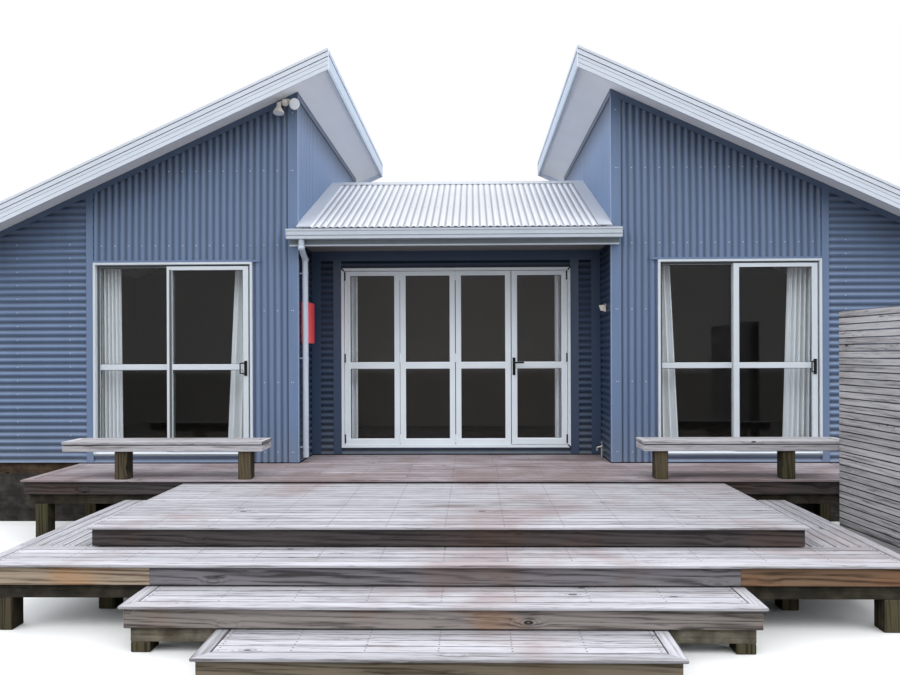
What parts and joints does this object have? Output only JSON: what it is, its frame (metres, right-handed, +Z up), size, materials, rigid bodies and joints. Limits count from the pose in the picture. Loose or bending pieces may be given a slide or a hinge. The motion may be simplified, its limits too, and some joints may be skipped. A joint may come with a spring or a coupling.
{
  "type": "beach house",
  "caption": "Small corrugated-clad beach house: two pods with single-slope roofs, a low recessed link between them, and a stepped timber deck with benches and a slatted screen.",
  "frame": {"origin": "middle of the object's box at ground level", "axes": "+X to the right along the front, +Y from the front to the back, +Z up; the front with the deck faces -Y"},
  "size_m": [12.06, 8.07, 5.1318],
  "materials": {
    "base_boards": "weathered grey",
    "floor_timber": "satin timber",
    "wall_frames": "painted lining",
    "blue_cladding": "satin blue-grey",
    "soffit_board": "pale grey paint",
    "roof_metal": "bare coated sheet",
    "pale_trim": "satin pale blue-grey",
    "gutter_metal": "bare coated sheet",
    "pipe_blue": "satin blue-grey",
    "porch_lining": "painted lining",
    "door_aluminium": "satin pale grey",
    "window_glass": "clear",
    "black_handles": "satin black",
    "curtain_track": "satin",
    "curtain_cloth": "soft woven",
    "deck_boards": "weathered grey-brown",
    "fascia_timber": "weathered dark brown",
    "frame_timber": "weathered dark",
    "post_timber": "weathered mossy brown",
    "bench_timber": "weathered grey",
    "screen_timber": "silver-grey",
    "lamp_white": "cream",
    "tap_metal": "worn metal",
    "red_plastic": "semi-gloss red"
  },
  "bodies": {
    "house": {"foundation_walls": "base_boards", "floors": "floor_timber", "front_wall_piers": "wall_frames", "walls_over_doors": "wall_frames", "inner_wall_piers": "wall_frames", "side_walls": "wall_frames", "rear_walls": "wall_frames", "vertical_cladding": "blue_cladding", "horizontal_cladding": "blue_cladding", "wall_flashings": "blue_cladding", "roof_decks": "soffit_board", "roof_sheets": "roof_metal", "link_roof_flashings": "roof_metal", "barge_boards": "pale_trim", "eave_fascias": "pale_trim", "gutters": "gutter_metal", "downpipes": "pipe_blue", "porch_soffits": "porch_lining", "folding_frame": "door_aluminium", "folding_leaves": "door_aluminium", "slider_frames": "door_aluminium", "rear_windows": "door_aluminium", "fixed_glass": "window_glass", "curtain_tracks": "curtain_track", "curtains": "curtain_cloth", "verandah_deck": "deck_boards", "main_deck": "deck_boards", "lower_deck": "deck_boards", "steps": "deck_boards", "deck_fascias": "fascia_timber", "deck_beams": "frame_timber", "timber_posts": "post_timber", "bench_seats": "bench_timber", "slat_screen": "screen_timber", "outdoor_lights": "lamp_white", "garden_tap": "tap_metal", "red_wall_case": "red_plastic"},
    "swing_leaf": {"swing_leaf": "door_aluminium", "swing_glass": "window_glass", "swing_handle": "black_handles"},
    "left_sliding_panel": {"left_sliding_panel": "door_aluminium", "left_sliding_glass": "window_glass", "left_panel_handle": "black_handles"},
    "right_sliding_panel": {"right_sliding_panel": "door_aluminium", "right_sliding_glass": "window_glass", "right_panel_handle": "black_handles"}
  },
  "joints": [
    {"name": "swing_leaf_hinge", "type": "hinge", "parent": "house", "child": "swing_leaf", "pos_m": [1.332, 0.446, 1.726], "axis": [0, 0, 1], "range_deg": [0, 110]},
    {"name": "left_panel_slide", "type": "slide", "parent": "house", "child": "left_sliding_panel", "axis": [-1, 0, 0], "range_m": [0, 0.779]},
    {"name": "right_panel_slide", "type": "slide", "parent": "house", "child": "right_sliding_panel", "axis": [-1, 0, 0], "range_m": [0, 0.779]}
  ]
}
